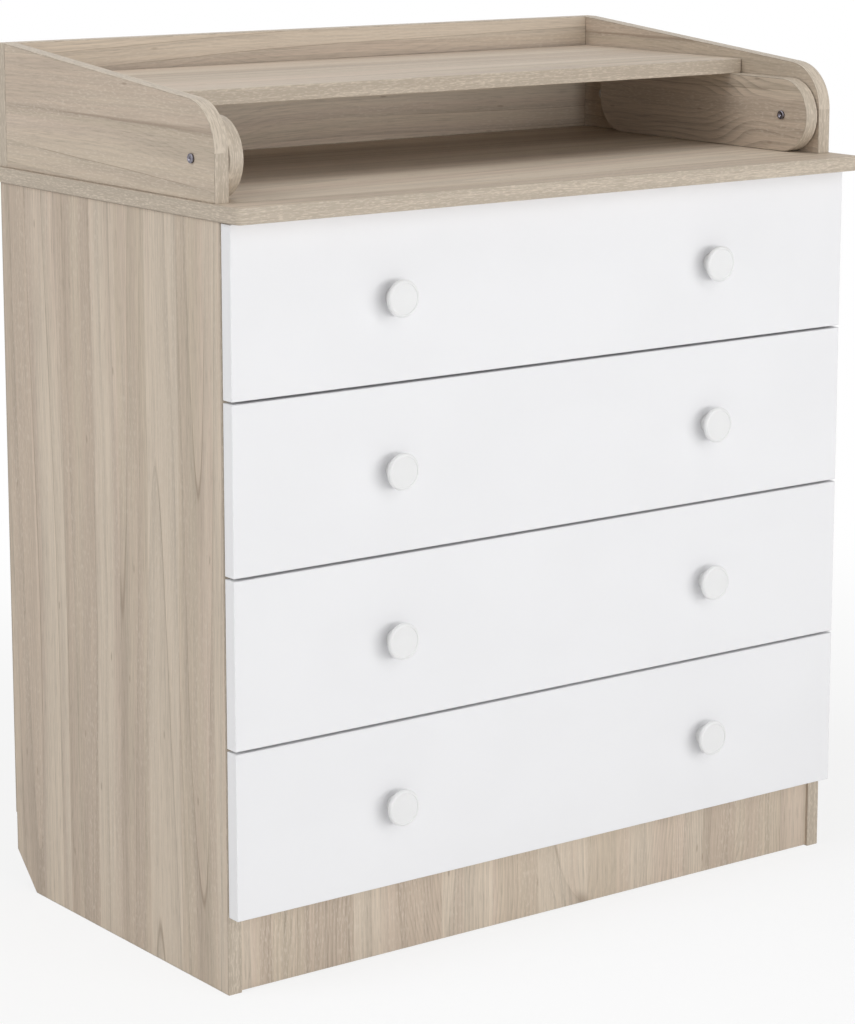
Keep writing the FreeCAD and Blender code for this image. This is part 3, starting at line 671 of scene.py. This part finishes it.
def cutCross(tree, given, head):    # one bar goes deeper, so that the floors don't lie in one plane
    cut = put(tree, "GeometryNodeMeshBoolean", {"Mesh 1": head}, operation="DIFFERENCE")
    for sideX, sideY, depths in (("Slot length", "Slot width", 2.0), ("Slot width", "Slot length", 2.15)):
        height = calc(tree, "MULTIPLY", given["Slot depth"], depths)
        size = put(tree, "ShaderNodeCombineXYZ", {0: given[sideX], 1: given[sideY], 2: height}).outputs[0]
        bar = put(tree, "GeometryNodeMeshCube", {"Size": size}).outputs["Mesh"]
        tree.links.new(bar, cut.inputs["Mesh 2"])
    return cut.outputs["Mesh"]


def namedVector(tree, label):
    return put(tree, "GeometryNodeInputNamedAttribute", {"Name": label}, data_type="FLOAT_VECTOR").outputs[0]


def copyToPoints(tree, given, shapes, directionName, turned):
    joined = put(tree, "GeometryNodeJoinGeometry")
    for shapeSocket in shapes:
        tree.links.new(shapeSocket, joined.inputs[0])
    direction = {"Vector": namedVector(tree, directionName)}
    rotation = put(tree, "FunctionNodeAlignRotationToVector", direction, axis="Z").outputs[0]
    if turned:    # each one is left at another angle
        dice = put(tree, "FunctionNodeRandomValue", {"Seed": given["Seed"]}, data_type="FLOAT").outputs[1]
        twist = put(tree, "FunctionNodeAxisAngleToRotation",
                    {"Axis": (0.0, 0.0, 1.0), "Angle": calc(tree, "MULTIPLY", dice, math.pi)}).outputs[0]
        rotation = put(tree, "FunctionNodeRotateRotation", {"Rotation": rotation, "Rotate By": twist},
                       rotation_space="LOCAL").outputs[0]
    copies = {"Points": given["Geometry"], "Instance": joined.outputs[0], "Rotation": rotation}
    return put(tree, "GeometryNodeInstanceOnPoints", copies).outputs[0]


def sideBolts(tree, given):    # a bolt runs from the middle of the cam's depth, in the plane of the board
    middle = calc(tree, "MULTIPLY_ADD", given["Shank length"], 0.5, given["Shank start"])
    bolt = putCylinder(tree, given, given["Shank radius"], given["Shank length"], middle)
    bolts = copyToPoints(tree, given, [bolt], "bolt", False)
    depth = calc(tree, "MULTIPLY", given["Board middle"], -1.0)
    facing = namedVector(tree, "facing")
    shift = put(tree, "ShaderNodeVectorMath", {0: facing, "Scale": depth}, operation="SCALE").outputs[0]
    moved = {"Instances": bolts, "Translation": shift, "Local Space": False}
    return put(tree, "GeometryNodeTranslateInstances", moved).outputs[0]


def buildFixingTree(name, sizes, crossed, sideBolt):
    tree = bpy.data.node_groups.new(name, "GeometryNodeTree")
    tree.interface.new_socket("Geometry", in_out="INPUT", socket_type="NodeSocketGeometry")
    for label, value in sizes.items():
        kind = "NodeSocketInt" if isinstance(value, int) else "NodeSocketFloat"
        tree.interface.new_socket(label, in_out="INPUT", socket_type=kind).default_value = value
    tree.interface.new_socket("Finish", in_out="INPUT", socket_type="NodeSocketMaterial")
    tree.interface.new_socket("Geometry", in_out="OUTPUT", socket_type="NodeSocketGeometry")
    given = tree.nodes.new("NodeGroupInput").outputs
    result = tree.nodes.new("NodeGroupOutput")

    headMiddle = calc(tree, "MULTIPLY", given["Head height"], -0.5)
    head = putCylinder(tree, given, given["Head radius"], given["Head height"], headMiddle)
    pieces = [cutCross(tree, given, head) if crossed else head]
    if not sideBolt:
        underHead = calc(tree, "MULTIPLY", given["Head height"], -1.0)
        middle = calc(tree, "MULTIPLY_ADD", given["Shank length"], -0.5, underHead)
        pieces.append(putCylinder(tree, given, given["Shank radius"], given["Shank length"], middle))
    everything = put(tree, "GeometryNodeJoinGeometry")
    tree.links.new(copyToPoints(tree, given, pieces, "facing", True), everything.inputs[0])
    if sideBolt:
        tree.links.new(sideBolts(tree, given), everything.inputs[0])
    real = put(tree, "GeometryNodeRealizeInstances", {0: everything.outputs[0]}).outputs[0]
    painted = put(tree, "GeometryNodeSetMaterial", {"Geometry": real, "Material": given["Finish"]}).outputs[0]
    tree.links.new(painted, result.inputs[0])
    return tree


def applyTree(name, tree, values, places):    # the tree run on one point for each place, as a plain mesh
    points = bpy.data.meshes.new(name + "_places")
    points.from_pydata([place[0] for place in places], [], [])
    for index, label in ((1, "facing"), (2, "bolt")):
        stored = points.attributes.new(label, "FLOAT_VECTOR", "POINT")
        for k, place in enumerate(places):
            stored.data[k].vector = place[index] if len(place) > index else place[1]
    holder = bpy.data.objects.new(name + "_holder", points)
    bpy.context.scene.collection.objects.link(holder)
    modifier = holder.modifiers.new("fixings", "NODES")
    modifier.node_group = tree
    for item in tree.interface.items_tree:
        if item.item_type == "SOCKET" and item.in_out == "INPUT" and item.name in values:
            modifier[item.identifier] = values[item.name]
        elif item.item_type == "SOCKET" and item.in_out == "INPUT" and item.name == "Finish":
            modifier[item.identifier] = zincPlate
    mesh = bpy.data.meshes.new_from_object(holder.evaluated_get(bpy.context.evaluated_depsgraph_get()))
    mesh.name = name
    bpy.data.objects.remove(holder)
    return mesh


fixingRim = {"leastAngle": 40.0, "steps": 2, "sharpAngle": 50.0}    # angles in degrees


def setFixings(name, tree, values, places, body, replaced, rim=0.0003):
    mesh = applyTree(name, tree, values, places)
    shape = bmesh.new()
    shape.from_mesh(mesh)
    bmesh.ops.remove_doubles(shape, verts=shape.verts, dist=weldDistance)
    rims = [edge for edge in shape.edges if edge.calc_face_angle(0.0) > math.radians(fixingRim["leastAngle"])]
    bmesh.ops.bevel(shape, geom=rims, offset=rim, segments=fixingRim["steps"], profile=0.5, affect="EDGES",
                    clamp_overlap=False)
    for face in shape.faces:
        face.smooth = True
    shape.to_mesh(mesh)
    shape.free()
    mesh.set_sharp_from_angle(angle=math.radians(fixingRim["sharpAngle"]))
    newPiece(name, mesh, body, replaced)


toRight, toLeft, toRear, upwards, downwards = (1, 0, 0), (-1, 0, 0), (0, 1, 0), (0, 0, 1), (0, 0, -1)


def mirroredPlaces(places):    # the same on the right-hand side
    return places + [tuple((-x, y, z) for x, y, z in place) for place in places]


def spread(low, high, count):
    return [low + k * (high - low) / (count - 1) for k in range(count)]


nail = {"Sides": 24, "Seed": 3, "Head radius": 0.0020, "Head height": 0.0008, "Shank radius": 0.0008,
        "Shank length": 0.0152}
nailGrid = {"across": 7, "up": 6}


def nailPlaces():    # along both sides and the lower edge of the back sheet
    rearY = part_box("back_sheet")[1].y
    low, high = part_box("back_nails")
    columns = spread(low.x + nail["Head radius"], high.x - nail["Head radius"], nailGrid["across"])
    rows = spread(low.z + nail["Head radius"], high.z - nail["Head radius"], nailGrid["up"])
    places = [((x, rearY, rows[0]), toRear) for x in columns[1:-1]]
    return places + [((x, rearY, z), toRear) for x in (columns[0], columns[-1]) for z in rows]


nailTree = buildFixingTree("pressedNail", nail, False, False)
setFixings("sheetNails", nailTree, nail, nailPlaces(), "root", ("back_nails",))

screw = {"Sides": 32, "Seed": 11, "Head radius": 0.0034, "Head height": 0.0012, "Shank radius": 0.00175,
         "Shank length": 0.0120, "Slot length": 0.0042, "Slot width": 0.0009, "Slot depth": 0.0008}
knobScrew = {"Sides": 32, "Seed": 11, "Head radius": 0.0045, "Head height": 0.0024, "Shank radius": 0.0020,
             "Shank length": 0.0275, "Slot length": 0.0055, "Slot width": 0.0012, "Slot depth": 0.0014}
railFixing = {"frontInset": 0.090, "rearInset": 0.040, "sheet": 0.0012, "rim": 0.00012}


def railScrewPlaces():    # through the rails' sheet, level with the rollers' axles
    places = []
    for number in drawerNumbers:
        railLow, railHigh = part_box("cabinet_rails_%d" % number)
        rollLow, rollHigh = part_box("cabinet_rollers_%d" % number)
        for y in (railLow.y + railFixing["frontInset"], railHigh.y - railFixing["rearInset"]):
            places.append(((railLow.x + railFixing["sheet"], y, (rollLow.z + rollHigh.z) / 2.0), toRight))
    return mirroredPlaces(places)


screwTree = buildFixingTree("crossScrew", screw, True, False)
setFixings("railScrews", screwTree, screw, railScrewPlaces(), "root", ("rail_screws",), railFixing["rim"])
for number in drawerNumbers:
    sides, middle = knobPlaces(number)
    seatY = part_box("drawer_%d_front" % number)[1].y + knobScrew["Head height"]
    places = [((x, seatY, middle), toRear) for x in sides]
    setFixings("knobScrews_%d" % number, screwTree, knobScrew, places, "drawer_%d" % number,
               ("drawer_%d_knobs" % number,))

cam = {"Sides": 40, "Seed": 29, "Head radius": 0.0075, "Head height": 0.0125, "Shank radius": 0.0030,
       "Shank length": 0.03745, "Shank start": 0.00755, "Board middle": 0.0080,
       "Slot length": 0.0090, "Slot width": 0.0016, "Slot depth": 0.0030}
camInsets = {"setback": 0.034, "side": 0.060, "bottom": 0.050, "lowWall": 0.092, "boardFront": 0.055,
             "armRear": 0.045, "backSpacing": 0.250}
armLow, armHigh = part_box("arm_left")


def cabinetCamPlaces():    # a cam's place, the way it faces, and the way its bolt goes
    sideLow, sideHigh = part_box("side_panel_left")
    bottomLow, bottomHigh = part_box("bottom_panel")
    railLow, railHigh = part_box("front_rail")
    plinthLow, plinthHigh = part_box("front_plinth")
    backLow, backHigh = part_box("upper_back")
    setback = camInsets["setback"]
    innerX = sideHigh.x
    overWorktop = wallLow.z + setback
    places = []
    for y in (sideLow.y + camInsets["side"], sideHigh.y - camInsets["side"]):
        places.append(((innerX, y, sideHigh.z - setback), toRight, upwards))
    for y in (bottomLow.y + camInsets["bottom"], bottomHigh.y - camInsets["bottom"]):
        places.append(((innerX + setback, y, bottomLow.z), downwards, toLeft))
    places.append(((innerX + setback, (railLow.y + railHigh.y) / 2.0, railLow.z), downwards, toLeft))
    places.append(((innerX + setback, plinthHigh.y, (plinthLow.z + plinthHigh.z) / 2.0), toRear, toLeft))
    for y in (wallLow.y + camInsets["lowWall"], backLow.y - camInsets["lowWall"]):
        places.append(((innerX, y, overWorktop), toRight, downwards))
    places.append(((innerX, backLow.y - setback, (armLow.z + armHigh.z) / 2.0), toRight, toRear))
    places.append(((-camInsets["backSpacing"], backHigh.y, overWorktop), toRear, downwards))
    return mirroredPlaces(places) + [((0.0, backHigh.y, overWorktop), toRear, downwards)]


def armCamPlaces():
    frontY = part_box("changing_board")[0].y + camInsets["boardFront"]
    rearY = armHigh.y - camInsets["armRear"]
    camZ = armHigh.z - camInsets["setback"]
    return mirroredPlaces([((armLow.x, y, camZ), toLeft, upwards) for y in (frontY, rearY)])


camTree = buildFixingTree("camAndBolt", cam, True, True)
setFixings("cabinetCams", camTree, cam, cabinetCamPlaces(), "root", ("cam_fittings",))
setFixings("armCams", camTree, cam, armCamPlaces(), "changer", ("board_fittings",))
print("fixings set")


studio = {"floorSize": 40.0, "floorColour": (0.86, 0.86, 0.86, 1.0), "worldLevel": 0.30, "nearWhite": 0.80,
          "nearReach": 0.6, "farReach": 1.9}
white = (1.0, 1.0, 1.0, 1.0)


def whiteForCamera(tree):    # 1 for what the camera sees, directly, in gloss or through glass
    path = put(tree, "ShaderNodeLightPath").outputs
    seen = calc(tree, "MAXIMUM", path["Is Camera Ray"], path["Is Glossy Ray"])
    return calc(tree, "MAXIMUM", seen, path["Is Transmission Ray"])


def makeFloor():    # keeps the object's shadow near it, and turns to plain white further out
    half = studio["floorSize"] / 2.0
    corners = [(-half, -half, 0.0), (half, -half, 0.0), (half, half, 0.0), (-half, half, 0.0)]
    mesh = bpy.data.meshes.new("floor")
    mesh.from_pydata(corners, [], [(0, 1, 2, 3)])
    floor = bpy.data.objects.new("floor", mesh)
    bpy.context.scene.collection.objects.link(floor)
    material, tree = startMaterial("paleFloor")
    matt = put(tree, "ShaderNodeBsdfDiffuse", {"Color": studio["floorColour"]}).outputs[0]
    glow = put(tree, "ShaderNodeEmission", {"Color": white, "Strength": 1.0}).outputs[0]
    place = put(tree, "ShaderNodeTexCoord").outputs["Object"]
    away = put(tree, "ShaderNodeVectorMath", {0: place}, operation="LENGTH").outputs["Value"]
    bright = step(tree, away, studio["nearReach"], studio["farReach"], studio["nearWhite"], 1.0)
    share = calc(tree, "MULTIPLY", whiteForCamera(tree), bright)
    both = put(tree, "ShaderNodeMixShader", {0: share, 1: matt, 2: glow}).outputs[0]
    put(tree, "ShaderNodeOutputMaterial", {0: both})
    mesh.materials.append(material)


def makeWorld():
    world = bpy.data.worlds.new("studioWorld")
    bpy.context.scene.world = world
    world.use_nodes = True
    tree = world.node_tree
    tree.nodes.clear()
    level = step(tree, whiteForCamera(tree), 0.0, 1.0, studio["worldLevel"], 1.0)
    sky = put(tree, "ShaderNodeBackground", {"Color": white, "Strength": level}).outputs[0]
    put(tree, "ShaderNodeOutputWorld", {0: sky})


# where each lamp is, where it points, its width and height in metres, and its power in watts
lamps = {
    "keyLamp": {"place": (2.0, -3.9, 1.25), "target": (0.0, -0.2, 0.6), "size": (2.0, 1.6), "power": 30.0},
    "frontStrip": {"place": (-0.3, -4.6, 0.85), "target": (0.0, 0.0, 0.8), "size": (3.2, 0.7), "power": 58.0},
    "frontHigh": {"place": (0.3, -3.4, 2.8), "target": (0.0, 0.0, 0.8), "size": (2.4, 1.6), "power": 20.0},
    "leftLow": {"place": (-3.7, 0.2, 0.9), "target": (-0.4, 0.0, 0.5), "size": (2.8, 1.6), "power": 21.0},
    "leftHigh": {"place": (-2.8, 0.4, 3.0), "target": (0.0, 0.0, 0.8), "size": (2.0, 2.0), "power": 36.0},
    "overhead": {"place": (0.0, 0.0, 3.6), "target": (0.0, 0.0, 0.8), "size": (2.6, 2.6), "power": 26.0},
}


def softLamp(name, place, target, size, power):
    data = bpy.data.lights.new(name, "AREA")
    data.shape = "RECTANGLE"
    data.size, data.size_y = size
    data.energy = power
    lamp = bpy.data.objects.new(name, data)
    bpy.context.scene.collection.objects.link(lamp)
    lamp.location = place
    lamp.rotation_euler = (Vector(target) - Vector(place)).to_track_quat("-Z", "Y").to_euler()


# turn and tilt in degrees, lens and sensor in millimetres
view = {"place": (-2.0166, -2.7029, 1.1470), "turn": 36.593, "tilt": 10.545, "lens": 110.99, "sensor": 36.0,
        "shift": -0.10, "nearest": 0.05, "farthest": 100.0}


def makeCamera():
    data = bpy.data.cameras.new("camera")
    data.sensor_width = view["sensor"]
    data.lens = view["lens"]
    data.shift_y = view["shift"]
    data.clip_start = view["nearest"]
    data.clip_end = view["farthest"]
    camera = bpy.data.objects.new("camera", data)
    bpy.context.scene.collection.objects.link(camera)
    camera.location = view["place"]
    camera.rotation_euler = (math.radians(90.0 - view["tilt"]), 0.0, -math.radians(view["turn"]))
    bpy.context.scene.camera = camera


makeFloor()
makeWorld()
for name, values in lamps.items():
    softLamp(name, **values)
makeCamera()
bpy.context.scene.view_settings.view_transform = "Standard"
print("studio ready")
